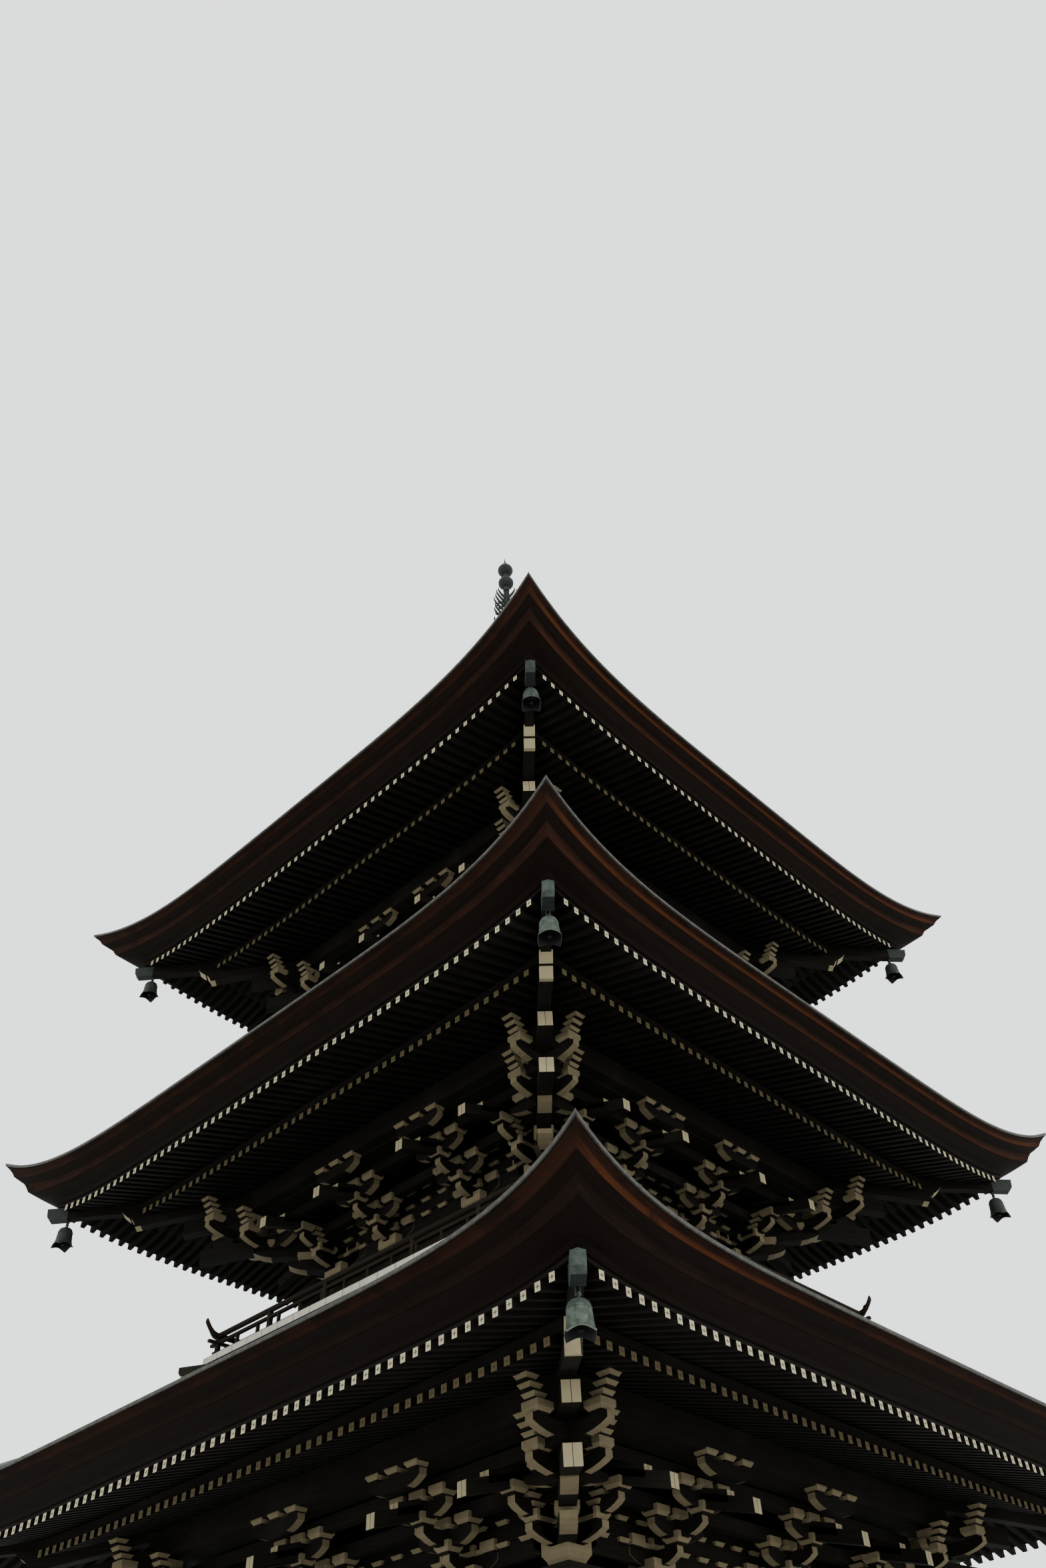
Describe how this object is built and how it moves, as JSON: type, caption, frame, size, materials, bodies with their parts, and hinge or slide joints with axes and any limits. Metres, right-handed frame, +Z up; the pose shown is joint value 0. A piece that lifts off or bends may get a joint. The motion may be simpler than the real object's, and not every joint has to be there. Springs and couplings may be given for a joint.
{
  "type": "timber pagoda",
  "caption": "Timber pagoda in storeys on a stone platform, with stepped brackets, double eaves, copper roofs, corner wind bells, balconies with railings and a metal finial.",
  "frame": {"origin": "middle of the platform foot, on the ground", "axes": "+Z up, -Y the front side, +X the right side"},
  "size_m": [9.8016, 9.8016, 22.246],
  "materials": {
    "stone": "dressed granite",
    "dark_timber": "dark weathered timber",
    "wall_timber": "weathered boards",
    "painted_timber": "timber with faded ochre and white paint on its ends",
    "rafter_timber": "dark timber with painted ends",
    "shingle_edge": "reddish layered shingles",
    "copper_sheet": "weathered copper sheet",
    "bronze": "verdigris bronze"
  },
  "bodies": {
    "pagoda": {"stone_platform": "stone", "stone_steps_front": "stone", "stone_steps_right": "stone", "stone_steps_back": "stone", "stone_steps_left": "stone", "storey_1_door_front": "wall_timber", "storey_1_door_right": "wall_timber", "storey_1_door_back": "wall_timber", "storey_1_door_left": "wall_timber", "storey_1_frame": "dark_timber", "storey_1_walls": "wall_timber", "storey_1_brackets": "painted_timber", "storey_1_base_rafters": "rafter_timber", "storey_1_hip_rafters": "dark_timber", "storey_1_flying_rafters": "rafter_timber", "storey_1_eave_edge": "shingle_edge", "storey_1_roof": "copper_sheet", "storey_2_frame": "dark_timber", "storey_2_walls": "wall_timber", "storey_2_brackets": "painted_timber", "storey_2_base_rafters": "rafter_timber", "storey_2_hip_rafters": "dark_timber", "storey_2_flying_rafters": "rafter_timber", "storey_2_eave_edge": "shingle_edge", "storey_2_roof": "copper_sheet", "storey_2_balcony": "dark_timber", "storey_2_railing": "dark_timber", "storey_3_frame": "dark_timber", "storey_3_walls": "wall_timber", "storey_3_brackets": "painted_timber", "storey_3_base_rafters": "rafter_timber", "storey_3_hip_rafters": "dark_timber", "storey_3_flying_rafters": "rafter_timber", "storey_3_eave_edge": "shingle_edge", "storey_3_roof": "copper_sheet", "storey_3_balcony": "dark_timber", "storey_3_railing": "dark_timber", "dew_basin": "bronze", "finial_bowl_and_lotus": "bronze", "finial_rings": "bronze", "water_flame": "bronze", "finial_lower_ball": "bronze", "finial_jewel": "bronze"},
    "storey_1_bell_1": {"storey_1_bell_1": "bronze"},
    "storey_1_bell_2": {"storey_1_bell_2": "bronze"},
    "storey_1_bell_3": {"storey_1_bell_3": "bronze"},
    "storey_1_bell_4": {"storey_1_bell_4": "bronze"},
    "storey_2_bell_1": {"storey_2_bell_1": "bronze"},
    "storey_2_bell_2": {"storey_2_bell_2": "bronze"},
    "storey_2_bell_3": {"storey_2_bell_3": "bronze"},
    "storey_2_bell_4": {"storey_2_bell_4": "bronze"},
    "storey_3_bell_1": {"storey_3_bell_1": "bronze"},
    "storey_3_bell_2": {"storey_3_bell_2": "bronze"},
    "storey_3_bell_3": {"storey_3_bell_3": "bronze"},
    "storey_3_bell_4": {"storey_3_bell_4": "bronze"}
  },
  "joints": [
    {"name": "storey_1_bell_1_swing", "type": "hinge", "parent": "pagoda", "child": "storey_1_bell_1", "pos_m": [4.23375, -4.23375, 4.871], "axis": [0.7071, 0.7071, 0], "range_deg": [-20, 20]},
    {"name": "storey_1_bell_2_swing", "type": "hinge", "parent": "pagoda", "child": "storey_1_bell_2", "pos_m": [4.23375, 4.23375, 4.871], "axis": [-0.7071, 0.7071, 0], "range_deg": [-20, 20]},
    {"name": "storey_1_bell_3_swing", "type": "hinge", "parent": "pagoda", "child": "storey_1_bell_3", "pos_m": [-4.23375, 4.23375, 4.871], "axis": [-0.7071, -0.7071, 0], "range_deg": [-20, 20]},
    {"name": "storey_1_bell_4_swing", "type": "hinge", "parent": "pagoda", "child": "storey_1_bell_4", "pos_m": [-4.23375, -4.23375, 4.871], "axis": [0.7071, -0.7071, 0], "range_deg": [-20, 20]},
    {"name": "storey_2_bell_1_swing", "type": "hinge", "parent": "pagoda", "child": "storey_2_bell_1", "pos_m": [3.96375, -3.96375, 8.4], "axis": [0.7071, 0.7071, 0], "range_deg": [-20, 20]},
    {"name": "storey_2_bell_2_swing", "type": "hinge", "parent": "pagoda", "child": "storey_2_bell_2", "pos_m": [3.96375, 3.96375, 8.4], "axis": [-0.7071, 0.7071, 0], "range_deg": [-20, 20]},
    {"name": "storey_2_bell_3_swing", "type": "hinge", "parent": "pagoda", "child": "storey_2_bell_3", "pos_m": [-3.96375, 3.96375, 8.4], "axis": [-0.7071, -0.7071, 0], "range_deg": [-20, 20]},
    {"name": "storey_2_bell_4_swing", "type": "hinge", "parent": "pagoda", "child": "storey_2_bell_4", "pos_m": [-3.96375, -3.96375, 8.4], "axis": [0.7071, -0.7071, 0], "range_deg": [-20, 20]},
    {"name": "storey_3_bell_1_swing", "type": "hinge", "parent": "pagoda", "child": "storey_3_bell_1", "pos_m": [3.69375, -3.69375, 11.965], "axis": [0.7071, 0.7071, 0], "range_deg": [-20, 20]},
    {"name": "storey_3_bell_2_swing", "type": "hinge", "parent": "pagoda", "child": "storey_3_bell_2", "pos_m": [3.69375, 3.69375, 11.965], "axis": [-0.7071, 0.7071, 0], "range_deg": [-20, 20]},
    {"name": "storey_3_bell_3_swing", "type": "hinge", "parent": "pagoda", "child": "storey_3_bell_3", "pos_m": [-3.69375, 3.69375, 11.965], "axis": [-0.7071, -0.7071, 0], "range_deg": [-20, 20]},
    {"name": "storey_3_bell_4_swing", "type": "hinge", "parent": "pagoda", "child": "storey_3_bell_4", "pos_m": [-3.69375, -3.69375, 11.965], "axis": [0.7071, -0.7071, 0], "range_deg": [-20, 20]}
  ]
}
